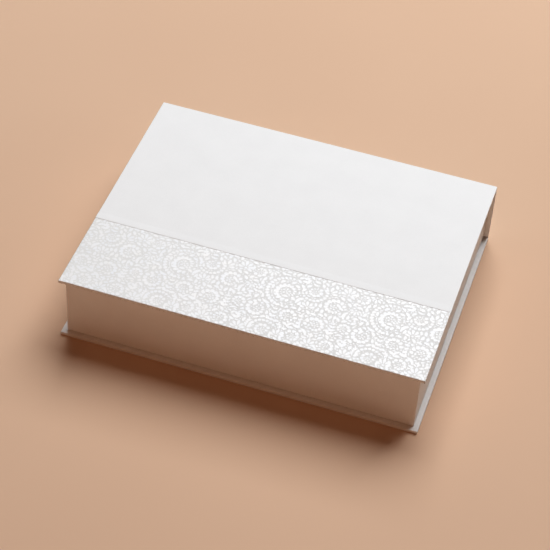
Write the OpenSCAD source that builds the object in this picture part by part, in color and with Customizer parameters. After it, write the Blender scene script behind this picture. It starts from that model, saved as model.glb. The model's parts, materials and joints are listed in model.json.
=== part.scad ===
// Book-style presentation box: a tray glued into a hinged three-board case.
// Frame: X along the hinge, Y from the opening side to the spine, Z up.
// The origin is on the table, under the centre of the closed box.

/* [Case] */
// Overall width of the closed box, along the hinge
box_w = 300; // [200:1:340]
// Overall depth of the closed box, from the front edge to the spine
box_d = 235; // [170:1:270]
// Overall height of the closed box
box_h = 62; // [45:1:90]
// How far the lid and the base stand out past the tray
square = 4.5; // [3:0.5:8]
// Height of the open crease between the spine board and the lid or the base
crease = 3.2; // [2.5:0.1:5]

/* [Board and paper] */
// Thickness of the three case boards
case_board = 2.5; // [2:0.1:3]
// Thickness of the tray's wall and floor boards
tray_board = 2; // [1.5:0.1:2.5]
// Thickness of every covering and lining paper
paper = 0.15; // [0.1:0.01:0.2]
// Thickness of the card that lines the tray's floor
floor_card = 0.3; // [0.2:0.05:1]
// Width of the paper edges that are folded round a case board
turn_in = 15; // [10:1:20]
// How far the linings stay back from the edges of the case
lining_inset = 3; // [2:0.5:5]

/* [Tray] */
// How far the wrap folds down inside the tray's walls
rim_turn_in = 20; // [12:1:30]
// How far the wall lining stops below the rim
rim_margin = 3; // [2:0.5:6]
// Length of each leg of a corner stay
stay_leg = 22; // [15:1:30]
// Thickness of the corner stays, pressed flush into the boards
stay_tape = 0.1; // [0.08:0.01:0.12]
// How far each stay starts above the foot of the walls
stay_foot = 3; // [1:0.5:6]
// How far each stay ends below the top of the walls
stay_head = 6; // [2:0.5:12]

/* [Band] */
// Depth of the patterned band on the lid, from its front edge
band_d = 77.5; // [40:0.5:120]
// How far the plain cover paper laps over the back of the band
overlap = 6; // [3:0.5:12]

/* [Closure] */
// Length of each magnet bar, along the front edge
magnet_l = 15; // [10:1:20]
// Width of a lid magnet and height of a tray magnet
magnet_w = 5; // [4:0.5:6]
// Thickness of a lid magnet
magnet_t = 1.5; // [1:0.1:1.8]
// Distance of each magnet from the middle of the box
magnet_x = 100; // [60:1:110]

/* [Hidden] */

rim_gap = 0.1;       // air between the closed lid and the tray's rim
hinge_gap = 0.2;     // air between the lid's back edge and the upper hinge strip
past = 1;            // how far a cutting block runs past the face that it opens

// Case boards in plan. The box is widest where the plain paper laps over the band.
board_x = box_w / 2 - 2 * paper;
cover_x = board_x + paper;
front = -box_d / 2;
board_front = front + paper;
back = box_d / 2;
strip_t = 2 * paper;                       // a hinge strip is cover paper and lining together
strip_front = back - strip_t;

// Heights, from the table up
base_top = case_board + 2 * paper;         // top of the turned-in paper on the base
lid_board_top = box_h - 2 * paper;
lid_board_under = lid_board_top - case_board;
lid_top = lid_board_top + paper;           // top of either lid paper, away from the overlap
cover_under = lid_board_under - paper;     // underside of either paper's turn-in
lid_under = cover_under - 2 * paper;       // underside of the lid's lining
spine_bottom = base_top + crease;
spine_top = cover_under - crease;

// Back of the lid and the layers of the spine
lid_back = strip_front - hinge_gap;
lid_board_back = lid_back - paper;
spine_board_back = back - paper;
spine_board_front = spine_board_back - case_board;
spine_turn_front = spine_board_front - paper;
spine_front = spine_turn_front - paper;

// Tray
tray_x = box_w / 2 - square;
tray_front = front + square;
tray_back = spine_front;
tray_top = lid_under - rim_gap;
wall_x = tray_x - paper;                   // outer faces of the wall boards
wall_front = tray_front + paper;
wall_back = tray_back - paper;
wall_top = tray_top - paper;
floor_bottom = base_top + paper;
floor_top = floor_bottom + tray_board;
in_x = wall_x - tray_board;                // inner faces of the wall boards
in_front = wall_front + tray_board;
in_back = wall_back - tray_board;
rim_fold_z = wall_top - rim_turn_in;
lining_top = tray_top - rim_margin;
band_back = front + band_d;
overlap_back = band_back + overlap;
magnet_along = [magnet_x - magnet_l / 2, magnet_x + magnet_l / 2];

// A block from its low and high limits along each axis
module block(x, y, z) {
    translate([x[0], y[0], z[0]]) cube([x[1] - x[0], y[1] - y[0], z[1] - z[0]]);
}

// A block that is centred on X and reaches half_x to each side
module slab(half_x, y, z) {
    block([-half_x, half_x], y, z);
}

// Its children, and their mirror images across the middle of the box
module both_sides() {
    children();
    mirror([1, 0, 0]) children();
}

// ---- Case: base and spine ----

module base_board() {
    color("tan") slab(board_x, [board_front, strip_front], [paper, paper + case_board]);
}

module base_cover_paper() {
    color("whitesmoke") difference() {
        slab(cover_x, [front, strip_front], [0, base_top]);
        slab(board_x, [board_front, strip_front + past], [paper, paper + case_board]);
        slab(board_x - turn_in, [board_front + turn_in, strip_front + past],
             [case_board, base_top + past]);
    }
}

module spine_board() {
    color("tan") slab(board_x, [spine_board_front, spine_board_back], [spine_bottom, spine_top]);
}

module spine_cover_paper() {
    color("whitesmoke") difference() {
        slab(cover_x, [spine_turn_front, back], [spine_bottom, spine_top]);
        slab(board_x, [spine_board_front, spine_board_back], [spine_bottom - past, spine_top + past]);
        slab(board_x - turn_in, [spine_turn_front - past, spine_board_back],
             [spine_bottom - past, spine_top + past]);
    }
}

module spine_lining() {
    color("ivory") union() {
        slab(cover_x - lining_inset, [spine_front, spine_turn_front], [spine_bottom, spine_top]);
        slab(board_x - turn_in, [spine_turn_front, spine_board_front], [spine_bottom, spine_top]);
    }
}

module hinge_strip(z) {
    slab(board_x, [strip_front, back], z);
}

module lower_hinge_strip() {
    color("whitesmoke") hinge_strip([0, spine_bottom]);
}

module upper_hinge_strip() {
    color("whitesmoke") hinge_strip([spine_top, lid_top]);
}

// ---- Tray ----

module tray_floor_board() {
    color("tan") slab(in_x, [in_front, in_back], [floor_bottom, floor_top]);
}

// L-shaped stay of gummed tape on the outside of a right-hand corner. It is at the wall face y, and its
// side leg runs inward from there: 1 is towards the back and -1 towards the front.
module right_stay(y, inward) {
    leg = inward * stay_leg;
    tape = inward * stay_tape;
    z = [floor_bottom + stay_foot, wall_top - stay_head];
    union() {
        block([wall_x - stay_leg, wall_x], [min(y, y + tape), max(y, y + tape)], z);
        block([wall_x - stay_tape, wall_x], [min(y, y + leg), max(y, y + leg)], z);
    }
}

module front_right_stay() {
    color("burlywood") right_stay(wall_front, 1);
}

module back_right_stay() {
    color("burlywood") right_stay(wall_back, -1);
}

module front_left_stay() {
    mirror([1, 0, 0]) front_right_stay();
}

module back_left_stay() {
    mirror([1, 0, 0]) back_right_stay();
}

module corner_stays() {
    both_sides() {
        front_right_stay();
        back_right_stay();
    }
}

// The full-width walls at the front and the back take in the corners
module long_wall(y) {
    difference() {
        slab(wall_x, y, [floor_bottom, wall_top]);
        corner_stays();
    }
}

module side_wall() {
    difference() {
        block([in_x, wall_x], [in_front, in_back], [floor_bottom, wall_top]);
        corner_stays();
    }
}

module tray_magnet_right() {
    color("silver") block(magnet_along, [wall_front, in_front], [wall_top - magnet_w, wall_top]);
}

module tray_magnet_left() {
    mirror([1, 0, 0]) tray_magnet_right();
}

module tray_front_wall() {
    color("tan") difference() {
        long_wall([wall_front, in_front]);
        both_sides() tray_magnet_right();
    }
}

module tray_back_wall() {
    color("tan") long_wall([in_back, wall_back]);
}

module tray_left_wall() {
    color("tan") mirror([1, 0, 0]) side_wall();
}

module tray_right_wall() {
    color("tan") side_wall();
}

// Outside skin, folded over the rim and down the inside, and folded under the floor
module tray_wrap_paper() {
    color("whitesmoke") difference() {
        slab(tray_x, [tray_front, tray_back], [base_top, tray_top]);
        difference() {
            slab(wall_x, [wall_front, wall_back], [floor_bottom, wall_top]);
            slab(in_x, [in_front, in_back], [rim_fold_z, wall_top + past]);
        }
        slab(in_x - paper, [in_front + paper, in_back - paper], [rim_fold_z - past, tray_top + past]);
        slab(wall_x - turn_in, [wall_front + turn_in, wall_back - turn_in],
             [base_top - past, floor_bottom + past]);
    }
}

// Lining of the four walls: thin over the folded rim, full thickness on the bare boards below it
module tray_wall_lining() {
    color("ivory") difference() {
        union() {
            slab(in_x - paper, [in_front + paper, in_back - paper], [floor_top, lining_top]);
            slab(in_x, [in_front, in_back], [floor_top, rim_fold_z]);
        }
        slab(in_x - 2 * paper, [in_front + 2 * paper, in_back - 2 * paper],
             [floor_top - past, lining_top + past]);
    }
}

module tray_floor_lining() {
    color("ivory") slab(in_x - 2 * paper, [in_front + 2 * paper, in_back - 2 * paper],
                        [floor_top, floor_top + floor_card]);
}

// ---- Lid ----

// The lid's magnets lie over the middle of the tray's front wall
module lid_magnet_right() {
    middle = (wall_front + in_front) / 2;
    color("silver") block(magnet_along, [middle - magnet_w / 2, middle + magnet_w / 2],
                          [lid_board_under, lid_board_under + magnet_t]);
}

module lid_magnet_left() {
    mirror([1, 0, 0]) lid_magnet_right();
}

module lid_board() {
    color("tan") difference() {
        slab(board_x, [board_front, lid_board_back], [lid_board_under, lid_board_top]);
        both_sides() lid_magnet_right();
    }
}

// The space inside a paper that is wrapped round the lid: the board's own, grown by the papers below it
module lid_core(y, grown) {
    slab(board_x + grown, y, [lid_board_under - grown, lid_board_top + grown]);
}

// What is cut away below the lid board, between the turned-in edges
module between_turn_ins(y) {
    slab(board_x - turn_in, y, [lid_under - past, lid_board_under + past]);
}

// The patterned paper: over the front third of the lid, round its front and side edges
module damask_band_paper() {
    color("gainsboro") difference() {
        slab(cover_x, [front, overlap_back], [cover_under, lid_top]);
        lid_core([board_front, overlap_back + past], 0);
        between_turn_ins([board_front + turn_in, overlap_back + past]);
    }
}

// The plain paper: over the rest of the lid, and in one more layer where it laps over the band
module lid_cover_paper() {
    color("whitesmoke") union() {
        difference() {
            union() {
                lid_core([band_back, overlap_back + paper], 2 * paper);
                lid_core([overlap_back, lid_board_back], paper);
            }
            lid_core([band_back - past, overlap_back], paper);
            lid_core([overlap_back - past, lid_board_back + past], 0);
            between_turn_ins([band_back - past, lid_board_back + past]);
        }
        slab(cover_x, [lid_board_back, lid_back], [lid_board_top, lid_top]);
    }
}

// Lining of the underside, which fills the steps of the turned-in papers, with a flap up the back edge
module lid_lining() {
    lining_x = cover_x - lining_inset;
    color("ivory") union() {
        difference() {
            slab(lining_x, [front + lining_inset, lid_board_back], [lid_under, lid_board_under]);
            damask_band_paper();
            lid_cover_paper();
        }
        slab(lining_x, [lid_board_back, lid_back], [lid_under, lid_board_top]);
    }
}

base_board();
base_cover_paper();
spine_board();
spine_cover_paper();
spine_lining();
lower_hinge_strip();
upper_hinge_strip();
tray_floor_board();
tray_front_wall();
tray_back_wall();
tray_left_wall();
tray_right_wall();
front_left_stay();
front_right_stay();
back_left_stay();
back_right_stay();
tray_magnet_left();
tray_magnet_right();
tray_wrap_paper();
tray_wall_lining();
tray_floor_lining();
lid_board();
lid_cover_paper();
damask_band_paper();
lid_lining();
lid_magnet_left();
lid_magnet_right();
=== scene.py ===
import json
from math import cos, pi, radians, sin

import bmesh
import bpy
import numpy as np
from mathutils import Matrix, Vector
from mathutils.geometry import tessellate_polygon


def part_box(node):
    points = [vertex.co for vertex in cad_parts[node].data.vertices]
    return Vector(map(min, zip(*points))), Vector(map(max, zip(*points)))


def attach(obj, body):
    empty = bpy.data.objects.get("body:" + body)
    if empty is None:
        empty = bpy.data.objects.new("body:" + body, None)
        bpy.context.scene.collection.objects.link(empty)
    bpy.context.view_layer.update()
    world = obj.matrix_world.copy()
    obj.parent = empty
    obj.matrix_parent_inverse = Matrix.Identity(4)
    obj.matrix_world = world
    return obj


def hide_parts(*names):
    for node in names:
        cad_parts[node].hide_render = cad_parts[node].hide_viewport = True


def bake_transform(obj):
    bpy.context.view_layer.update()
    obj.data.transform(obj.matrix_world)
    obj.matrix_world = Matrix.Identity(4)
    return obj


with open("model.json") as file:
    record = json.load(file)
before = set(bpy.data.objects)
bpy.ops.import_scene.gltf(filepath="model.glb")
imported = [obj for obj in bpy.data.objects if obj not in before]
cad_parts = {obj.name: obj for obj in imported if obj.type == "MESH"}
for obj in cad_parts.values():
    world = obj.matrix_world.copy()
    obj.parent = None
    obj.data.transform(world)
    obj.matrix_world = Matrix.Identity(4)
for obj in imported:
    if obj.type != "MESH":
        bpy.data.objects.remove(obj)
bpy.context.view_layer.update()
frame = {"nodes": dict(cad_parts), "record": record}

MM = 0.001

# Papers. The bends are where a paper goes round the edge of a board.
PAPER = 0.15 * MM
INK = 0.05 * MM                # how far the damask stands up from its paper
CASE_BEND = 0.45 * MM          # outer radius of a paper's bend round a case board
CASE_CORNER = 0.8 * MM         # outer radius of the case's corners in plan
TRAY_BEND = 0.6 * MM
TRAY_CORNER = 0.6 * MM
TURN_IN = 15 * MM
FLAP_STEP = 0.07 * MM          # how far the front turn-in stands over the side ones at a mitre
SUPPORT = 0.25 * MM            # a flat strip beside each bend, which keeps the wide faces flat
SUNK = 0.12 * MM               # how far a lining sinks where no turn-in lies under it
EASE = 0.05 * MM               # rounding of a lining's cut edges
ARRIS = 0.4 * MM               # bevel of the boards' cut edges
TOOTH = 0.02 * MM              # depth of a paper's surface relief
MERGE = 1e-7                   # points closer than this are one
BEND_STEPS = 5                 # faces in a quarter bend

# ---------------------------------------------------------------- meshes


def make_piece(name, points, faces, material, smooth_deg=40):
    """A mesh object made from points and faces, with doubles merged and its normals outward."""
    mesh = bpy.data.meshes.new(name)
    mesh.from_pydata([tuple(p) for p in points], [], faces)
    work = bmesh.new()
    work.from_mesh(mesh)
    bmesh.ops.remove_doubles(work, verts=work.verts, dist=MERGE)
    many_sided = [f for f in work.faces if len(f.verts) > 4]
    bmesh.ops.triangulate(work, faces=many_sided, ngon_method="EAR_CLIP")
    bmesh.ops.dissolve_degenerate(work, edges=work.edges, dist=MERGE)
    bmesh.ops.recalc_face_normals(work, faces=work.faces)
    work.to_mesh(mesh)
    work.free()
    mesh.polygons.foreach_set("use_smooth", [True] * len(mesh.polygons))
    mesh.set_sharp_from_angle(angle=radians(smooth_deg))
    piece = bpy.data.objects.new(name, mesh)
    bpy.context.scene.collection.objects.link(piece)
    mesh.materials.append(material)
    return piece


def skin(rings, wrap_ring, wrap_rings):
    """Quads between neighbouring rings of equal length. Either direction may close on itself."""
    size = len(rings[0])
    faces = []
    for r in range(len(rings) if wrap_rings else len(rings) - 1):
        here, there = r * size, (r + 1) % len(rings) * size
        for k in range(size if wrap_ring else size - 1):
            after = (k + 1) % size
            faces.append((here + k, here + after, there + after, there + k))
    return faces


def end_caps(rings):
    """The two faces that close the first and the last ring."""
    size = len(rings[0])
    last = (len(rings) - 1) * size
    return [tuple(range(size)), tuple(last + k for k in range(size))]


def joined(rings):
    return [point for ring in rings for point in ring]


def quarter():
    """The angles of a quarter turn."""
    return [k * pi / 2 / BEND_STEPS for k in range(BEND_STEPS + 1)]


def wrap_profile(main_z, fold_z, paper, bend_r, turn):
    """A paper that covers a board's main face, rounds its edge and is turned in on the other face.

    Each point is (inset from the board's edge, height, 1 where it lies on the turned-in face)."""
    up = 1 if main_z > fold_z else -1
    runs = []
    for radius in (bend_r, bend_r - paper):
        under = bend_r - radius
        run = [(bend_r + SUPPORT, main_z - up * under, 0)]
        run += [(bend_r - radius * sin(a), main_z - up * (bend_r - radius * cos(a)), 0) for a in quarter()]
        run += [(under, main_z - up * (bend_r + SUPPORT), 0), (under, fold_z + up * (bend_r + SUPPORT), 0)]
        run += [(bend_r - radius * cos(a), fold_z + up * (bend_r - radius * sin(a)), 0) for a in quarter()]
        outer = 1 if radius == bend_r else 0
        run += [(bend_r + SUPPORT, fold_z + up * under, outer), (turn, fold_z + up * under, outer)]
        runs.append(run)
    return runs[0] + runs[1][::-1]


def corner_arc(centre_x, centre_y, radius, start):
    """A quarter circle in plan, anticlockwise from an angle."""
    return [(centre_x + radius * cos(start + a), centre_y + radius * sin(start + a)) for a in quarter()]


def front_ring(half_x, front, back, inset, z, corner, side_z):
    """From the back of the left side, round both front corners, to the back of the right side."""
    radius = max(corner - inset, 0)
    x, y = half_x - inset - radius, front + inset + radius
    left = corner_arc(-x, y, radius, pi)
    right = corner_arc(x, y, radius, 1.5 * pi)
    mid = len(left) // 2
    ring = [(-half_x + inset, back, side_z)]
    ring += [(px, py, side_z) for px, py in left[:mid]] + [(px, py, z) for px, py in left[mid:]]
    ring += [(px, py, z) for px, py in right[:mid]] + [(px, py, side_z) for px, py in right[mid:]]
    return ring + [(half_x - inset, back, side_z)]


def full_ring(half_x, front, back, inset, z, corner):
    """Round a rectangle with rounded corners, anticlockwise from above, with a support beside each arc."""
    radius = max(corner - inset, 0)
    x, y0, y1 = half_x - inset - radius, front + inset + radius, back - inset - radius
    corners = ((x, y0, 1.5 * pi), (x, y1, 0), (-x, y1, pi / 2), (-x, y0, pi))
    ring = []
    for cx, cy, start in corners:
        along_x, along_y = SUPPORT * sin(start), -SUPPORT * cos(start)
        arc = corner_arc(cx, cy, radius, start)
        ring += [(arc[0][0] + along_x, arc[0][1] + along_y, z)] + [(px, py, z) for px, py in arc]
        ring.append((arc[-1][0] + along_y, arc[-1][1] - along_x, z))
    return ring


def front_wrap(name, half_x, front, back, main_z, fold_z, paper, material):
    """A paper wrapped round a board's front and two sides, and cut off at the back."""
    towards_board = FLAP_STEP if main_z > fold_z else -FLAP_STEP
    rings = [front_ring(half_x, front, back, inset, z, CASE_CORNER, z + towards_board * folded)
             for inset, z, folded in wrap_profile(main_z, fold_z, paper, CASE_BEND, TURN_IN)]
    faces = skin(rings, wrap_ring=False, wrap_rings=False) + end_caps(rings)
    starts = [r * len(rings[0]) for r in range(len(rings))]
    faces.append(tuple(starts + [first + len(rings[0]) - 1 for first in reversed(starts)]))
    return make_piece(name, joined(rings), faces, material)


def side_wrap(name, stations, material):
    """A paper wrapped round a board's two ends only. Each station is a list of its cross-section's points."""
    faces = skin(stations, wrap_ring=True, wrap_rings=False) + end_caps(stations)
    return make_piece(name, joined(stations), faces, material)


def both_ends(half_x, profile):
    """The (x, height) outline of a paper that is wrapped round both ends of a board."""
    right = [(half_x - inset, z) for inset, z, _ in profile]
    return right + [(-x, z) for x, z in reversed(right)]


def ring_sweep(name, half_x, front, back, profile, corner, material, capped=False):
    """A profile of (inset, height) points carried round a rectangle, closed on itself or capped flat."""
    rings = [full_ring(half_x, front, back, inset, z, corner) for inset, z in profile]
    faces = skin(rings, wrap_ring=True, wrap_rings=not capped)
    if capped:
        faces += end_caps(rings)
    return make_piece(name, joined(rings), faces, material)


def ribbon(name, half_x, line, paper, material):
    """A paper that follows a line of (y, z) points, with that line at the middle of its thickness."""
    line = np.array(line)
    along = np.gradient(line, axis=0)
    side = np.stack([-along[:, 1], along[:, 0]], 1) / np.linalg.norm(along, axis=1)[:, None] * paper / 2
    outline = np.concatenate([line + side, (line - side)[::-1]])
    ease = 0.3 * paper
    stations = []
    for x, shrink in ((-half_x, ease), (-half_x + ease, 0), (half_x - ease, 0), (half_x, ease)):
        slim = 1 - 2 * shrink / paper
        section = np.concatenate([line + side * slim, (line - side * slim)[::-1]]) if shrink else outline
        stations.append([(x, y, z) for y, z in section])
    return side_wrap(name, stations, material)


def bend(centre, radius, start_deg, end_deg, steps=8):
    """Points of an arc in (y, z)."""
    return [(centre[0] + radius * cos(radians(start_deg + (end_deg - start_deg) * k / steps)),
             centre[1] + radius * sin(radians(start_deg + (end_deg - start_deg) * k / steps)))
            for k in range(steps + 1)]


# ---------------------------------------------------------------- materials


def node_tree(name):
    """A new material, with its nodes, its links, its shader and the object's own coordinates."""
    material = bpy.data.materials.new(name)
    material.use_nodes = True
    nodes, links = material.node_tree.nodes, material.node_tree.links
    shader = nodes["Principled BSDF"]
    place = nodes.new("ShaderNodeTexCoord").outputs["Object"]
    return material, nodes, links, shader, place


def noise(nodes, links, place, size, detail, roughness=0.55):
    """Noise whose features are about size metres across."""
    texture = nodes.new("ShaderNodeTexNoise")
    texture.inputs["Scale"].default_value = 1 / size
    texture.inputs["Detail"].default_value = detail
    texture.inputs["Roughness"].default_value = roughness
    links.new(place, texture.inputs["Vector"])
    return texture.outputs["Fac"]


def ramp(nodes, links, value, stops):
    """A colour ramp from (position, colour) stops."""
    node = nodes.new("ShaderNodeValToRGB")
    elements = node.color_ramp.elements
    for element, (position, colour) in zip(elements, (stops[0], stops[-1])):
        element.position, element.color = position, (*colour, 1)
    for position, colour in stops[1:-1]:
        elements.new(position).color = (*colour, 1)
    links.new(value, node.inputs["Fac"])
    return node.outputs["Color"]


def blend_colours(nodes, links, kind, amount, first, second):
    """Two colours mixed in one of the blend modes."""
    node = nodes.new("ShaderNodeMix")
    node.data_type, node.blend_type = "RGBA", kind
    node.inputs["Factor"].default_value = amount
    links.new(first, node.inputs["A"])
    links.new(second, node.inputs["B"])
    return node.outputs["Result"]


def scaled(nodes, links, value, low, high):
    """A value from 0 to 1, brought to the range from low to high."""
    node = nodes.new("ShaderNodeMapRange")
    node.inputs["To Min"].default_value, node.inputs["To Max"].default_value = low, high
    links.new(value, node.inputs["Value"])
    return node.outputs["Result"]


def bump(nodes, links, shader, height, depth, strength):
    """Relief of a depth in metres on the shader's surface."""
    node = nodes.new("ShaderNodeBump")
    node.inputs["Distance"].default_value = depth
    node.inputs["Strength"].default_value = strength
    links.new(height, node.inputs["Height"])
    links.new(node.outputs["Normal"], shader.inputs["Normal"])


def grey(level):
    return (level, level, level)


def paper_material(name, tone, spread=0.03, rough=(0.5, 0.66), fibre=0.5 * MM, relief=0.3):
    """Coated paper: a fine fibre mottle over slow clouds of tone, and a faint tooth."""
    material, nodes, links, shader, place = node_tree(name)
    fibres = noise(nodes, links, place, fibre, 4.0, 0.7)
    clouds = noise(nodes, links, place, 22 * MM, 2.0)
    low = tuple(c * (1 - spread) for c in tone)
    high = tuple(min(c * (1 + spread), 1) for c in tone)
    base = ramp(nodes, links, fibres, [(0.3, low), (0.7, high)])
    cloudy = ramp(nodes, links, clouds, [(0.3, grey(1 - 0.6 * spread)), (0.7, grey(1.0))])
    links.new(blend_colours(nodes, links, "MULTIPLY", 1.0, base, cloudy), shader.inputs["Base Color"])
    links.new(scaled(nodes, links, fibres, *rough), shader.inputs["Roughness"])
    shader.inputs["Specular IOR Level"].default_value = 0.35
    bump(nodes, links, shader, fibres, TOOTH, relief)
    return material


def pearl_material(name):
    """The damask's ink: pearl white, with the glitter of its pigment in colour and gloss."""
    material, nodes, links, shader, place = node_tree(name)
    flakes = nodes.new("ShaderNodeTexVoronoi")
    flakes.inputs["Scale"].default_value = 1 / (0.25 * MM)
    links.new(place, flakes.inputs["Vector"])
    clouds = noise(nodes, links, place, 9 * MM, 2.0)
    pigment = ramp(nodes, links, flakes.outputs["Color"],
                   [(0.0, (0.865, 0.88, 0.91)), (0.5, (0.895, 0.90, 0.905)), (1.0, (0.92, 0.905, 0.895))])
    tint = ramp(nodes, links, clouds, [(0.3, (0.97, 0.98, 1.0)), (0.7, (1.0, 0.99, 0.98))])
    links.new(blend_colours(nodes, links, "MULTIPLY", 1.0, pigment, tint), shader.inputs["Base Color"])
    links.new(scaled(nodes, links, flakes.outputs["Distance"], 0.26, 0.42), shader.inputs["Roughness"])
    shader.inputs["Specular IOR Level"].default_value = 0.6
    bump(nodes, links, shader, clouds, TOOTH, 0.2)
    return material


def greyboard_material(name):
    """Solid greyboard: recycled fibre in browns and greys with dark flecks."""
    material, nodes, links, shader, place = node_tree(name)
    fibres = noise(nodes, links, place, 0.7 * MM, 6.0, 0.7)
    flecks = noise(nodes, links, place, 1.6 * MM, 2.0, 0.5)
    base = ramp(nodes, links, fibres, [(0.25, (0.22, 0.19, 0.16)), (0.5, (0.36, 0.33, 0.29)),
                                       (0.75, (0.5, 0.47, 0.43))])
    dots = ramp(nodes, links, flecks, [(0.22, grey(0.35)), (0.34, grey(1.0))])
    links.new(blend_colours(nodes, links, "MULTIPLY", 0.8, base, dots), shader.inputs["Base Color"])
    links.new(scaled(nodes, links, fibres, 0.75, 0.95), shader.inputs["Roughness"])
    bump(nodes, links, shader, fibres, 0.06 * MM, 0.5)
    return material


def kraft_material(name):
    """Brown gummed kraft tape with long fibres."""
    material, nodes, links, shader, place = node_tree(name)
    fibres = noise(nodes, links, place, 0.9 * MM, 5.0, 0.65)
    base = ramp(nodes, links, fibres, [(0.3, (0.36, 0.22, 0.12)), (0.7, (0.52, 0.35, 0.21))])
    links.new(base, shader.inputs["Base Color"])
    links.new(scaled(nodes, links, fibres, 0.55, 0.8), shader.inputs["Roughness"])
    bump(nodes, links, shader, fibres, 0.03 * MM, 0.4)
    return material


def nickel_material(name):
    """A nickel-plated magnet, with the dull haze of its plating."""
    material, nodes, links, shader, place = node_tree(name)
    haze = noise(nodes, links, place, 1.2 * MM, 4.0)
    links.new(ramp(nodes, links, haze, [(0.3, (0.55, 0.54, 0.52)), (0.7, (0.68, 0.67, 0.65))]),
              shader.inputs["Base Color"])
    links.new(scaled(nodes, links, haze, 0.2, 0.38), shader.inputs["Roughness"])
    shader.inputs["Metallic"].default_value = 1.0
    return material


def floor_material(name):
    """A matt, pale peach card surface."""
    material, nodes, links, shader, place = node_tree(name)
    clouds = noise(nodes, links, place, 0.4, 2.0)
    links.new(ramp(nodes, links, clouds, [(0.3, (0.73, 0.512, 0.37)), (0.7, (0.756, 0.536, 0.39))]),
              shader.inputs["Base Color"])
    shader.inputs["Roughness"].default_value = 0.8
    shader.inputs["Specular IOR Level"].default_value = 0.2
    return material


def backdrop_material(name):
    """A wall that glows with painted light, darker at the bottom and paler upward."""
    material, nodes, links, shader, place = node_tree(name)
    height = nodes.new("ShaderNodeSeparateXYZ")
    links.new(place, height.inputs["Vector"])
    # painted light: the colour of the glow pales with height
    tone = ramp(nodes, links, scaled(nodes, links, height.outputs["Z"], 0.5, 1.2),
                [(0.0, (0.38, 0.27, 0.19)), (1.0, (0.66, 0.5, 0.38))])
    shader.inputs["Base Color"].default_value = (0, 0, 0, 1)
    links.new(tone, shader.inputs["Emission Color"])
    shader.inputs["Emission Strength"].default_value = 1.0
    return material


cover_paper = paper_material("cover_paper", (0.884, 0.884, 0.888))
band_paper = paper_material("band_paper", (0.825, 0.827, 0.82), 0.035, (0.55, 0.72), 0.6 * MM, 0.4)
lining_paper = paper_material("lining_paper", (0.86, 0.85, 0.83), 0.035, (0.62, 0.78), 0.4 * MM, 0.35)
pearl_ink = pearl_material("pearl_ink")
greyboard = greyboard_material("greyboard")
kraft_tape = kraft_material("kraft_tape")
nickel = nickel_material("nickel")

# ---------------------------------------------------------------- CAD nodes that stay

FINISHES = {"greyboard": greyboard, "lining_paper": lining_paper, "kraft_tape": kraft_tape,
            "magnet": nickel, "cover_paper": cover_paper, "band_paper": band_paper}
for part in frame["record"]["subparts"]:
    node = frame["nodes"][part["node"]]
    node.data.materials.clear()
    node.data.materials.append(FINISHES[part["material_slot"]])
    if part["material_slot"] == "greyboard":
        arris = node.modifiers.new("arris", "BEVEL")
        arris.width, arris.segments, arris.limit_method = ARRIS, 2, "ANGLE"

# ---------------------------------------------------------------- base and spine

base_low, base_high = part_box("base_cover_paper")
base_cover = front_wrap("base_cover", base_high.x, base_low.y, base_high.y, base_low.z, base_high.z,
                        PAPER, cover_paper)
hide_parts("base_cover_paper")

spine_low, spine_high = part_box("spine_cover_paper")
spine_section = both_ends(spine_high.x, wrap_profile(spine_high.y, spine_low.y, PAPER, CASE_BEND, TURN_IN))
spine_cover = side_wrap("spine_cover", [[(x, y, z) for x, y in spine_section]
                                        for z in (spine_low.z, spine_high.z)], cover_paper)
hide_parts("spine_cover_paper")

strip_low, strip_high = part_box("upper_hinge_strip")
outer_y = strip_high.y - PAPER / 2          # middle of the cover paper where it crosses a crease
inner_y = strip_low.y + PAPER / 2           # middle of the lining there
DENT = 0.55 * MM                            # how far the paper is pressed into each crease
DENT_STEPS = 12


def dented(y, low_z, high_z):
    """A line up a crease, pressed in between the two boards."""
    return [(y - DENT * sin(pi * k / DENT_STEPS) ** 2, low_z + (high_z - low_z) * k / DENT_STEPS)
            for k in range(DENT_STEPS + 1)]


FOOT_BEND = 0.7 * MM                        # radius of the paper's turn from under the base up to the spine
foot_centre = (outer_y - FOOT_BEND, PAPER / 2 + FOOT_BEND)
foot_line = [(base_high.y + 0.02 * MM, PAPER / 2)] if foot_centre[0] > base_high.y else []
lower_hinge = ribbon("lower_hinge_paper", strip_high.x,
                     foot_line + bend(foot_centre, FOOT_BEND, -90, 0)
                     + dented(outer_y, base_high.z, spine_low.z), PAPER, cover_paper)
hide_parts("lower_hinge_strip")

# The lining of the lower crease lies on the base, climbs the hinge paper and goes under the spine board
lining_low, lining_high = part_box("spine_lining")
crease_bend = 0.3 * MM                      # radius of the lining's turns at a crease
base_floor = base_high.z - PAPER / 2
lower_lining = ribbon(
    "lower_crease_lining", lining_high.x,
    [(lining_low.y, base_floor)]
    + bend((inner_y - crease_bend, base_floor + crease_bend), crease_bend, -90, 0)
    + dented(inner_y, base_high.z + crease_bend, spine_low.z - PAPER - crease_bend)
    + bend((inner_y - crease_bend, spine_low.z - PAPER / 2 - crease_bend), crease_bend, 0, 90)
    + [(lining_low.y, spine_low.z - PAPER / 2)], PAPER, lining_paper)

# ---------------------------------------------------------------- upper hinge

lid_board_low, lid_board_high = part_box("lid_board")
cover_low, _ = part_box("lid_cover_paper")
lid_lining_low, lid_lining_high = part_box("lid_lining")
lid_top = lid_board_high.z + PAPER
ROLL = 0.5 * MM                             # outer radius of the paper where it turns onto the lid
roll = ROLL - PAPER / 2
upper_hinge = ribbon("upper_hinge_paper", strip_high.x,
                     dented(outer_y, spine_high.z, lid_lining_low.z + 0.5 * MM)
                     + [(outer_y, lid_top - 1.6 * ROLL)]
                     + bend((outer_y - roll, lid_top - ROLL), roll, 0, 90, 12)
                     + [(lid_board_high.y, lid_top - PAPER / 2)], PAPER, cover_paper)
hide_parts("upper_hinge_strip")

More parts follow.
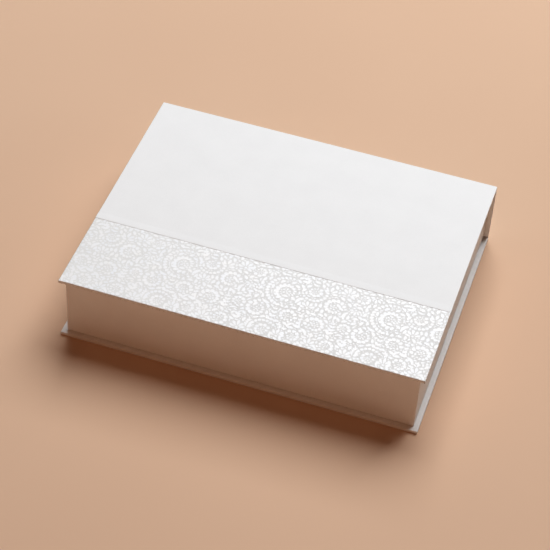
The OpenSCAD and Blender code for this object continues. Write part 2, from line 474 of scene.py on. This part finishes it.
SPLIT_Z = lid_board_high.z - 1.2 * MM       # above this the lining bends with the lid
upper_lining = ribbon(
    "upper_crease_lining", lining_high.x,
    [(lining_low.y, spine_high.z + PAPER / 2)]
    + bend((inner_y - crease_bend, spine_high.z + PAPER / 2 + crease_bend), crease_bend, -90, 0)
    + dented(inner_y, spine_high.z + PAPER + crease_bend, lid_lining_low.z)
    + [(inner_y, SPLIT_Z)], PAPER, lining_paper)

flap_y = lid_board_high.y + PAPER / 2       # middle of the lining on the lid's back edge
turn = (inner_y - flap_y) / 2
under_z = lid_lining_low.z + PAPER / 2
hinge_lining = ribbon(
    "hinge_lining", lining_high.x,
    [(inner_y, SPLIT_Z), (inner_y, SPLIT_Z + 0.3 * MM)]
    + bend((flap_y + turn, lid_board_high.z - PAPER / 2 - turn), turn, 0, 180, 12)
    + bend((flap_y - crease_bend, under_z + crease_bend), crease_bend, 0, -90)
    + [(flap_y - 2 * MM, under_z)], PAPER, lining_paper)

# ---------------------------------------------------------------- tray

tray_low, tray_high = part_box("tray_wrap_paper")
wall_low, wall_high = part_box("tray_right_wall")
wall_lining_low, wall_lining_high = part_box("tray_wall_lining")
card_low, card_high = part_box("tray_floor_lining")
rim = tray_high.z
inner = tray_high.x - wall_low.x + PAPER    # inset of the wrap's face inside the walls
RIM_TURN_IN = 20 * MM                       # how far the wrap is folded down inside
fold_z = wall_high.z - RIM_TURN_IN


def tray_profile():
    """Down inside the walls, over the rim, down outside and in under the floor.

    It then comes back along the paper's glued face."""
    face, glued = [], []
    for run, radius in ((face, TRAY_BEND), (glued, TRAY_BEND - PAPER)):
        under = TRAY_BEND - radius
        run += [(inner - under, fold_z), (inner - under, rim - TRAY_BEND - SUPPORT)]
        run += [(inner - TRAY_BEND + radius * cos(a), rim - TRAY_BEND + radius * sin(a)) for a in quarter()]
        run += [(TRAY_BEND - radius * sin(a), rim - TRAY_BEND + radius * cos(a)) for a in quarter()]
        run += [(under, rim - TRAY_BEND - SUPPORT), (under, tray_low.z + TRAY_BEND + SUPPORT)]
        run += [(TRAY_BEND - radius * cos(a), tray_low.z + TRAY_BEND - radius * sin(a)) for a in quarter()]
        run.append((TURN_IN, tray_low.z + under))
    return face + glued[::-1]


tray_wrap = ring_sweep("tray_wrap", tray_high.x, tray_low.y, tray_high.y, tray_profile(), TRAY_CORNER,
                       cover_paper)
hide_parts("tray_wrap_paper")

lining_top = wall_lining_high.z
lined = inner + PAPER                       # inset of the wall lining's face over the folded wrap
wall_lining = ring_sweep(
    "wall_lining", tray_high.x, tray_low.y, tray_high.y,
    [(lined - SUNK, wall_lining_low.z), (lined - SUNK, fold_z - 1.2 * MM), (lined, fold_z + 0.2 * MM),
     (lined, lining_top - EASE), (lined - EASE, lining_top), (inner, lining_top), (inner, fold_z),
     (inner - PAPER, fold_z), (inner - PAPER, wall_lining_low.z)], 0, lining_paper)
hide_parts("tray_wall_lining")

CARD_CORNER = 0.6 * MM
floor_lining = ring_sweep(
    "floor_card", card_high.x, card_low.y, card_high.y,
    [(1.5 * EASE + SUPPORT, card_high.z), (1.5 * EASE, card_high.z), (0, card_high.z - 1.5 * EASE),
     (0, card_low.z)], CARD_CORNER, lining_paper, capped=True)
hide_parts("tray_floor_lining")

# ---------------------------------------------------------------- lid papers

band_low, band_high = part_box("damask_band_paper")
band_back = cover_low.y                     # the band shows from the front edge to here
overlap_back = band_high.y
band = front_wrap("damask_band", band_high.x - INK, band_low.y + INK, overlap_back, band_high.z - INK,
                  band_low.z + INK, PAPER - INK, band_paper)
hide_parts("damask_band_paper")

SLOPE = 1.2 * MM                            # over this the plain paper comes down from the band to the board
CUT = 0.07 * MM                             # bevel of its cut front edge
on_board = wrap_profile(lid_top, lid_board_low.z - PAPER, PAPER, CASE_BEND, TURN_IN)
on_band = wrap_profile(lid_top + PAPER, lid_board_low.z - 2 * PAPER, PAPER, CASE_BEND, TURN_IN)
board_section = both_ends(band_high.x, on_board)
band_section = both_ends(band_high.x + PAPER, on_band)
on_band_cut = wrap_profile(lid_top + PAPER - CUT, lid_board_low.z - 2 * PAPER + CUT, PAPER - CUT,
                           CASE_BEND - CUT, TURN_IN)
cut_section = both_ends(band_high.x + PAPER - CUT, on_band_cut)
past_cut = band_back + 1.3 * CUT
plain_stations = ((band_back, cut_section), (past_cut, band_section), (past_cut + SUPPORT, band_section),
                  (overlap_back - SUPPORT, band_section), (overlap_back + SLOPE, board_section),
                  (overlap_back + SLOPE + SUPPORT, board_section), (lid_board_high.y, board_section))
plain_cover = side_wrap("plain_cover", [[(x, y, z) for x, z in section] for y, section in plain_stations],
                        cover_paper)
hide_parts("lid_cover_paper")

lining_back = flap_y - 2 * MM
turned_to = TURN_IN + PAPER - (band_high.x - lid_lining_high.x)
lid_lining = ring_sweep(
    "lid_lining_sheet", lid_lining_high.x, lid_lining_low.y, lining_back,
    [(turned_to + 2 * MM, lid_lining_low.z + SUNK), (turned_to + 1.4 * MM, lid_lining_low.z + SUNK),
     (turned_to - 0.4 * MM, lid_lining_low.z), (EASE + SUPPORT, lid_lining_low.z), (EASE, lid_lining_low.z),
     (0, lid_lining_low.z + EASE), (0, lid_board_low.z)], 0, lining_paper, capped=True)
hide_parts("lid_lining")

# ---------------------------------------------------------------- damask

REPEAT = 86.0                               # width of one repeat of the design, in mm
SHEET = 84.5                                # depth of the printed sheet, with what goes over the front edge
CELL = 0.25                                 # spacing of the grid that the design is worked out on, in mm
LEAST = 0.05                                # how far, in mm, a simplified outline may leave the traced one
LEAST_AREA = 0.12                           # of a patch or a hole, in square mm
FAR_FROM_INK = -99.0                        # the design's height where nothing has been drawn
JUST_BARE = -0.05                           # the height given to places that are kept clear
SPACING = 3.1                               # from one petal to the next, in mm
PETAL_GAP = 0.42                            # bare paper between two petals, in mm
CHANNEL = 0.5                               # half the width of a bare channel, in mm


class Design:
    """One repeat as a height over a grid in mm that wraps round in x. There is ink where it is above 0."""

    def __init__(self):
        self.columns, self.rows = round(REPEAT / CELL), round(SHEET / CELL) + 1
        self.height = np.full((self.rows, self.columns), FAR_FROM_INK)

    def reach(self, path, radius):
        """The height of a stroke along a path of complex points, with a radius at each."""
        path = np.atleast_1d(np.asarray(path, complex))
        radius = np.broadcast_to(radius, path.shape)
        margin = radius.max() + 3.0
        out = np.full_like(self.height, FAR_FROM_INK)
        following, next_radius = np.append(path[1:], path[-1]), np.append(radius[1:], radius[-1])
        for a, b, ra, rb in zip(path, following, radius, next_radius):
            low, high = min(a.imag, b.imag) - margin, max(a.imag, b.imag) + margin
            rows = np.arange(max(0, int(low / CELL)), min(self.rows, int(high / CELL) + 1))
            left, right = min(a.real, b.real) - margin, max(a.real, b.real) + margin
            columns = np.arange(int(left // CELL), int(right // CELL) + 1)
            if not len(rows):
                continue
            z = CELL * (columns[None, :] + 1j * rows[:, None])
            along = b - a
            t = np.clip(((z - a) * np.conj(along)).real / max(abs(along) ** 2, 1e-9), 0, 1)
            window = np.ix_(rows, columns % self.columns)
            out[window] = np.maximum(out[window], ra + t * (rb - ra) - abs(z - a - t * along))
        return out

    def ink(self, path, radius):
        """Add a stroke of ink."""
        self.height = np.maximum(self.height, self.reach(path, radius))

    def cut(self, path, radius):
        """Clear a channel through the ink."""
        self.height = np.minimum(self.height, -self.reach(path, radius))


def heading(degrees):
    """A unit step in a direction, as a complex number."""
    return np.exp(1j * np.radians(degrees))


def curl(centre, start_r, end_r, start_deg, end_deg, count):
    """Points of a spiral."""
    t = np.linspace(0, 1, count)
    return centre + (start_r + (end_r - start_r) * t ** 0.85) * heading(start_deg + (end_deg - start_deg) * t)


def bow(a, b, bulge, count):
    """A curve from a to b that bulges to its left by that share of its length."""
    t = np.linspace(0, 1, count)
    return a + (b - a) * (t + 4j * bulge * t * (1 - t))


def flower(design, centre, r, count, turned):
    """Round petals about a round eye."""
    for k in range(count):
        way = heading(turned + 360 * k / count)
        design.ink([centre + 0.55 * r * way, centre + 0.78 * r * way], [0.17 * r, 0.26 * r])
    design.ink(centre, 0.23 * r)


PETAL = np.array([0.45, 0.8, 1.0, 1.0, 0.75, 0.35])     # a petal's radius from its root to its tip


def petals(design, centre, inner, outer, start, sweep, lean, wound=0.0):
    """Fat petals side by side along an arc, longest in its middle.

    Wound is how far the arc's far end draws inward, as a share of its radius."""
    middle = 0.5 * (inner + outer)
    count = max(3, round(abs(sweep) * pi / 180 * middle * (1 - wound / 2) / SPACING))
    for k in range(count):
        t = (k + 0.5) / count
        drawn_in = 1 - wound * t ** 1.5
        full = 0.72 + 0.28 * sin(pi * t ** 0.8)
        fat = (0.5 * abs(sweep) * pi / 180 * middle / count - PETAL_GAP / 2) * drawn_in * full
        reach = max((0.5 * (outer - inner) * full - 0.5 * fat) * drawn_in, 0.2)
        at = start + sweep * t
        way = heading(at + np.sign(sweep) * lean)
        place = centre + middle * drawn_in * heading(at)
        design.ink(bow(place - way * reach, place + way * reach, 0.14 * np.sign(sweep), 6), fat * PETAL)


def scroll(design, centre, r, start, hand, wreath):
    """A scroll: petals that wind inward to a flower, led out by a leaf, with perhaps a wreath outside.

    Returns the paths of the bare channels that set the scroll apart from what surrounds it."""
    turn = hand * 330
    petals(design, centre, 0.55 * r, r, start, turn, 32, wound=0.42)
    flower(design, centre - 0.08 * r * heading(start), 0.24 * r + 0.5, 5, start)
    leaf = centre + 1.12 * r * heading(start - hand * 18)
    design.ink(bow(leaf, leaf + 0.75 * r * heading(start - hand * 112), -0.18 * hand, 6),
               0.11 * r * PETAL[::-1] + 0.15)
    channels = [curl(centre, r + 0.8, 0.72 * r, start - hand * 10, start + hand * 300, 36)]
    if wreath:
        petals(design, centre, r + 1.6, r + 1.6 + wreath, start + hand * 20, hand * 200, -30)
        channels.append(curl(centre, r + wreath + 2.3, r + wreath + 1.9, start, start + hand * 235, 30))
    return channels


def fan(design, root, size, up):
    """A shell of five fat petals that spread from a bud."""
    for across in (-1, -0.5, 0, 0.5, 1):
        way = heading(up + across * 72)
        long = size * (1 - 0.2 * abs(across))
        design.ink(bow(root + 0.3 * size * way, root + long * way, 0.12 * across, 6),
                   size * 0.165 * np.array([0.3, 0.55, 0.8, 1.0, 1.0, 0.6]))
    design.ink(root, 0.15 * size)


def spray(design, root, tip, half, bulge, pairs):
    """A curved stem with pairs of fat leaves that shrink towards its tip, each apart from the next."""
    stem = bow(root, tip, bulge, 2 * pairs + 2)
    for k in range(pairs):
        at, way = stem[2 * k], stem[2 * k + 1] - stem[2 * k]
        way /= abs(way)
        long = half * (1.1 - 0.6 * k / pairs)
        fat = min(0.42 * abs(stem[2] - stem[0]) - 0.2, 0.3 * long)
        for side in (1, -1):
            lean = heading(side * 48)
            design.ink(bow(at + 0.25 * way * lean + 0.35 * side * 1j * way, at + way * lean * long,
                           -0.15 * side, 6), fat * PETAL)
    design.ink(stem[-3:], [0.3, 0.75, 0.3])


def scatter(design, rng, step, room_needed, most, long):
    """Leaves and dots in the ground that the figures leave open, each lying along the gap that it fills."""
    for y in np.arange(0, SHEET, step):
        for x in np.arange(0, REPEAT, step):
            z = complex(x, y) + 0.8 * step * complex(*(rng.random(2) - 0.5))
            row = int(np.clip(z.imag / CELL, 1, design.rows - 2))
            column = int(z.real / CELL) % design.columns
            room = -design.height[row, column]
            if room < room_needed:
                continue
            to_right = design.height[row, (column + 1) % design.columns] - design.height[row, column - 1]
            uphill = complex(to_right, design.height[row + 1, column] - design.height[row - 1, column])
            way = 1j * uphill / max(abs(uphill), 1e-6)
            r = min(room - 0.42, most)
            design.ink(bow(z - long * r * way, z + long * r * way, 0.12, 5),
                       r * np.array([0.3, 0.8, 1.0, 0.75, 0.2]))


# Where the figures stand in the repeat, in mm, and how large they are
SCROLLS = (                                 # centre, radius, start angle, hand, width of the wreath
    (27 + 60j, 12.0, -60, -1, 3.8), (67 + 57j, 10.5, 10, 1, 0), (10 + 35j, 10.0, 100, 1, 0),
    (35 + 35j, 8.5, -20, 1, 0), (58 + 33j, 10.0, 200, -1, 0), (48 + 68j, 7.0, 60, -1, 2.6),
    (80 + 37j, 7.0, 300, 1, 0), (45 + 16j, 7.0, 150, -1, 0), (21 + 14j, 7.5, 20, 1, 2.6),
    (72 + 15j, 8.0, 250, 1, 0), (87 + 74j, 6.5, 200, 1, 0))
FANS = (                                    # root, size, direction
    (33.5 + 12j, 7.0, 90), (59 + 11j, 7.0, 90), (2 + 10j, 7.0, 90), (59 + 70j, 7.5, 80),
    (10 + 79j, 6.0, 270), (74 + 74j, 7.5, 95), (84 + 60j, 5.5, 270), (47 + 49j, 7.0, 100))
SPRAYS = (                                  # root, tip, length of a leaf, bulge, pairs of leaves
    (47 + 26j, 47 + 43j, 4.4, 0.12, 4), (22 + 26j, 23 + 45j, 4.0, -0.1, 4),
    (70 + 28j, 70 + 44j, 4.0, -0.1, 4), (84 + 19j, 86 + 28j, 4.2, 0.1, 2),
    (9 + 13j, 8 + 24j, 4.2, -0.1, 3), (40 + 75j, 38 + 84j, 4.0, 0.1, 2),
    (33 + 20j, 32 + 27j, 3.4, 0.1, 2), (58 + 19j, 59 + 24.5j, 3.4, 0.1, 2))
FILLINGS = ((2.6, 1.5, 1.35, 1.7), (1.8, 1.2, 0.9, 1.4), (1.2, 0.95, 0.6, 1.0))     # as scatter takes them


def damask():
    """The repeat: scrolls of several sizes wound both ways, with fans, sprays and flowers between them."""
    design = Design()
    channels = []
    for placing in SCROLLS:
        channels += scroll(design, *placing)
    for placing in FANS:
        fan(design, *placing)
    for placing in SPRAYS:
        spray(design, *placing)
    rng = np.random.default_rng(7)
    for filling in FILLINGS:
        scatter(design, rng, *filling)
    for channel in channels:
        design.cut(channel, CHANNEL)
    return design.height


# Marching squares. A cell's corners are numbered 1, 2, 4 and 8, anticlockwise from its low left. For each
# sum of the inked corners, these are the sides that the outline enters and leaves by, with ink on its left.
BOTTOM, RIGHT, TOP, LEFT = range(4)
CROSSINGS = {1: [(BOTTOM, LEFT)], 2: [(RIGHT, BOTTOM)], 3: [(RIGHT, LEFT)], 4: [(TOP, RIGHT)],
             5: [(BOTTOM, LEFT), (TOP, RIGHT)], 6: [(TOP, BOTTOM)], 7: [(TOP, LEFT)], 8: [(LEFT, TOP)],
             9: [(BOTTOM, TOP)], 10: [(RIGHT, BOTTOM), (LEFT, TOP)], 11: [(RIGHT, TOP)], 12: [(LEFT, RIGHT)],
             13: [(BOTTOM, RIGHT)], 14: [(LEFT, BOTTOM)]}


def outlines(height):
    """The closed outlines of what is above 0, as arrays of grid points: ink lies to the left of each."""
    height = np.pad(height, 1, constant_values=JUST_BARE)
    rows, columns = height.shape
    inked = height > 0
    code = inked[:-1, :-1] * 1 + inked[:-1, 1:] * 2 + inked[1:, 1:] * 4 + inked[1:, :-1] * 8

    def side_number(row, column, side):
        """Even for the side along x from this grid point, odd for the one along y."""
        row = row + (side == TOP)
        column = column + (side == RIGHT)
        return 2 * (row * columns + column) + (side in (LEFT, RIGHT))

    follow = {}
    for value, pairs in CROSSINGS.items():
        row, column = np.nonzero(code == value)
        for enter, leave in pairs:
            follow.update(zip(side_number(row, column, enter).tolist(),
                              side_number(row, column, leave).tolist()))
    found = []
    while follow:
        start, here = follow.popitem()
        loop = [start]
        while here != start:
            loop.append(here)
            here = follow.pop(here)
        number = np.array(loop)
        row, column = np.divmod(number // 2, columns)
        upright = number % 2 == 1
        first = height[row, column]
        second = height[row + upright, column + ~upright]
        share = first / (first - second)
        found.append(np.stack([column + share * ~upright, row + share * upright], 1) - 1)
    return found


def thinned(line, least):
    """An open line with the points left out that lie within least of the chords between the others."""
    keep = {0, len(line) - 1}
    spans = [(0, len(line) - 1)]
    while spans:
        a, b = spans.pop()
        if b - a < 2:
            continue
        chord = line[b] - line[a]
        away = line[a + 1:b] - line[a]
        length = max(np.hypot(*chord), 1e-9)
        off = abs(chord[0] * away[:, 1] - chord[1] * away[:, 0]) / length
        far = int(off.argmax())
        if off[far] > least:
            middle = a + 1 + far
            keep.add(middle)
            spans += [(a, middle), (middle, b)]
    return line[sorted(keep)]


def thinned_loop(loop, least):
    """The same for a closed loop, split at its first point and the point farthest from that."""
    far = int(np.hypot(*(loop - loop[0]).T).argmax())
    there = thinned(loop[:far + 1], least)
    back = thinned(np.vstack([loop[far:], loop[:1]]), least)
    return np.vstack([there[:-1], back[:-1]])


def area(loop):
    """Positive for a patch of ink, negative for a hole in one."""
    x, y = loop.T
    return 0.5 * float(np.sum(x * np.roll(y, -1) - y * np.roll(x, -1)))


def holds(loop, point):
    """Whether a point is inside a loop."""
    x, y = loop.T
    x2, y2 = np.roll(x, -1), np.roll(y, -1)
    spans = (y > point[1]) != (y2 > point[1])
    cut = x[spans] + (point[1] - y[spans]) * (x2[spans] - x[spans]) / (y2[spans] - y[spans])
    return int(np.sum(cut > point[0])) % 2 == 1


def islands(height):
    """Each patch of ink as [outline, hole, ...], in mm."""
    loops = [thinned_loop(loop * CELL, LEAST) for loop in outlines(height)]
    sized = [(area(loop), loop) for loop in loops if len(loop) > 2]
    patches = [[loop] for size, loop in sized if size > LEAST_AREA]
    for size, hole in sized:
        if size < -LEAST_AREA:
            around = [p for p in patches if holds(p[0], hole[0])]
            if around:
                min(around, key=lambda p: area(p[0])).append(hole)
    return patches


def over_edge(s, lift, bend_r, straight):
    """Where a point lands that lies s past the start of a board's edge bend: (outward, downward)."""
    arc = bend_r * pi / 2
    first, second = np.clip(s, 0, arc) / bend_r, np.clip(s - arc - straight, 0, arc) / bend_r
    down_side = np.clip(s - arc, 0, straight)
    beneath = np.maximum(s - 2 * arc - straight, 0)
    radius = bend_r + lift
    out = np.minimum(s, 0) + radius * np.sin(first) - radius * (1 - np.cos(second)) - beneath
    down = -lift + radius * (1 - np.cos(first)) + down_side + radius * np.sin(second)
    return out, down


UNDER_LINING = 0.5 * MM                     # how far the design runs on under the lid's lining
FIRST_COLUMN = 21                           # where in the repeat the sheet was cut, in mm
ROOTED = 0.4                                # how much of the ink's thickness lies in the paper


def damask_ink():
    """The printed design: cut from the repeats, folded over the lid's edges and raised by its thickness."""
    half_x, front = band_high.x - INK, band_low.y + INK
    edge_x, edge_y = half_x - CASE_BEND, front + CASE_BEND
    top, bottom = band_high.z - INK, band_low.z + INK
    straight = top - bottom - 2 * CASE_BEND
    round_it = CASE_BEND * pi + straight          # how much paper goes round an edge
    beneath = (band_high.x - lid_lining_high.x) - CASE_BEND + UNDER_LINING
    tuck = round_it + beneath
    repeat = damask()
    count = int(2 * (edge_x + tuck) / MM / CELL)
    depth = int((band_back - edge_y + tuck) / MM / CELL)
    shift = round(FIRST_COLUMN / CELL)
    sheet = repeat[-depth:, (np.arange(count) + shift) % repeat.shape[1]].copy()
    margin = int(tuck / MM / CELL)
    sheet[:margin, :margin] = sheet[:margin, -margin:] = JUST_BARE      # nothing on the folded corners
    flat, faces = [], []
    for patch in islands(sheet):
        start = len(flat)
        loops = [[Vector((x, y, 0)) for x, y in loop] for loop in patch]
        flat += [p for loop in loops for p in loop]
        faces += [tuple(start + k for k in triangle) for triangle in tessellate_polygon(loops)]
    mesh = bpy.data.meshes.new("ink")
    mesh.from_pydata([(p.x * MM - edge_x - tuck, p.y * MM - tuck, 0) for p in flat], [], faces)
    work = bmesh.new()
    work.from_mesh(mesh)
    arc = CASE_BEND * pi / 2
    folds = [arc * k / 3 for k in range(4)] + [arc + straight + arc * k / 3 for k in range(4)]
    for s in folds:
        for normal, place in (((1, 0, 0), edge_x + s), ((-1, 0, 0), edge_x + s), ((0, -1, 0), s)):
            bmesh.ops.bisect_plane(work, geom=work.verts[:] + work.edges[:] + work.faces[:],
                                   plane_co=Vector(normal) * place, plane_no=normal)
    bmesh.ops.triangulate(work, faces=work.faces)
    bmesh.ops.recalc_face_normals(work, faces=work.faces)
    work.verts.index_update()
    u = np.array([v.co.x for v in work.verts])
    v = np.array([v.co.y for v in work.verts])
    tops = [tuple(p.index for p in f.verts) for f in work.faces]
    rims = [(e.link_loops[0].vert.index, e.link_loops[0].link_loop_next.vert.index)
            for e in work.edges if len(e.link_loops) == 1]
    work.free()
    bpy.data.meshes.remove(mesh)

    def folded(lift):
        """Every point's place on the lid, that far above the paper."""
        out_x, down_x = over_edge(abs(u) - edge_x, lift, CASE_BEND, straight)
        out_y, down_y = over_edge(-v, lift, CASE_BEND, straight)
        x = np.where(abs(u) > edge_x, np.sign(u) * (edge_x + out_x), u)
        y = np.where(v < 0, edge_y - out_y, edge_y + v)
        down = np.where(abs(u) > edge_x, down_x, down_y)
        return np.stack([x, y, top - down], 1)

    n = len(u)
    points = np.concatenate([folded(INK), folded(-ROOTED * INK)])
    faces = tops + [tuple(n + k for k in reversed(f)) for f in tops]
    faces += [(a, a + n, b + n, b) for a, b in rims]
    return make_piece("damask_ink", points, faces, pearl_ink, 30)


ink = damask_ink()

# ---------------------------------------------------------------- what rides on what

for piece in (base_cover, spine_cover, lower_hinge, lower_lining, upper_lining, tray_wrap, wall_lining,
              floor_lining):
    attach(piece, "tray")
for piece in (band, plain_cover, lid_lining, ink):
    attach(piece, "lid")
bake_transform(upper_hinge)
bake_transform(hinge_lining)

# ---------------------------------------------------------------- stage

FLOOR_SIZE = 12
bpy.ops.mesh.primitive_plane_add(size=FLOOR_SIZE)
floor = bpy.context.object
floor.name = "floor"
floor.data.materials.append(floor_material("floor"))

BACKDROP_R, BACKDROP_H = 2.7, 0.9
bpy.ops.mesh.primitive_cylinder_add(vertices=96, radius=BACKDROP_R, depth=BACKDROP_H, end_fill_type="NOTHING",
                                    location=(0, 0, BACKDROP_H / 2))
backdrop = bpy.context.object
backdrop.name = "backdrop"
backdrop.data.polygons.foreach_set("use_smooth", [True] * len(backdrop.data.polygons))
backdrop.data.materials.append(backdrop_material("backdrop"))
# only the camera sees the glowing backdrop; it casts no light and no shadow
backdrop.visible_diffuse = backdrop.visible_glossy = backdrop.visible_shadow = False

HAZE = (0.3, 0.165, 0.095)                  # what is seen beyond the floor
DOME = (0.002, 0.003, 0.004)                # the rest of the room
world = bpy.data.worlds.new("studio")
world.use_nodes = True
sky_nodes, sky_links = world.node_tree.nodes, world.node_tree.links
upward = sky_nodes.new("ShaderNodeSeparateXYZ")
sky_links.new(sky_nodes.new("ShaderNodeTexCoord").outputs["Generated"], upward.inputs["Vector"])
sky_links.new(ramp(sky_nodes, sky_links, upward.outputs["Z"], [(0.09, HAZE), (0.16, DOME)]),
              sky_nodes["Background"].inputs["Color"])
bpy.context.scene.world = world


def soft_light(name, azimuth, elevation, distance, size, power, colour):
    """A square light that faces the box. Azimuth 0 is behind the box and 90 is to its right."""
    lamp = bpy.data.lights.new(name, "AREA")
    lamp.shape, lamp.size, lamp.energy, lamp.color = "SQUARE", size, power, colour
    holder = bpy.data.objects.new(name, lamp)
    a, e = radians(azimuth), radians(elevation)
    way = Vector((sin(a) * cos(e), cos(a) * cos(e), sin(e)))
    holder.location = way * distance
    holder.rotation_mode = "QUATERNION"
    holder.rotation_quaternion = way.to_track_quat("Z", "Y")
    bpy.context.scene.collection.objects.link(holder)


soft_light("key", 6, 56.5, 3.0, 2.3, 112, (0.939, 0.979, 0.998))
soft_light("fill", 180, 40, 3.0, 3.0, 16, (1.0, 0.465, 0.235))

aim = Vector((-0.5 * MM, -20.3 * MM, 31 * MM))
VIEW_AZIMUTH, VIEW_ELEVATION, VIEW_ROLL = radians(15.35), radians(44.85), radians(4.1)
VIEW_DISTANCE = 1.5478
LENS, SENSOR = 123.84, 36                   # in mm
back_way = Vector((sin(VIEW_AZIMUTH) * cos(VIEW_ELEVATION), -cos(VIEW_AZIMUTH) * cos(VIEW_ELEVATION),
                   sin(VIEW_ELEVATION)))
level = Vector((0, 0, 1)).cross(back_way).normalized()
right = Matrix.Rotation(VIEW_ROLL, 3, back_way) @ level
camera_data = bpy.data.cameras.new("camera")
camera_data.sensor_width, camera_data.lens = SENSOR, LENS
camera_data.clip_start, camera_data.clip_end = 0.01, 100
camera = bpy.data.objects.new("camera", camera_data)
bpy.context.scene.collection.objects.link(camera)
turned = Matrix((right, back_way.cross(right), back_way)).transposed()
camera.matrix_world = Matrix.Translation(aim + back_way * VIEW_DISTANCE) @ turned.to_4x4()
bpy.context.scene.camera = camera
bpy.context.scene.view_settings.view_transform = "Standard"
bpy.context.scene.view_settings.gamma = 0.85       # deepens the middle tones, as studio pictures have them
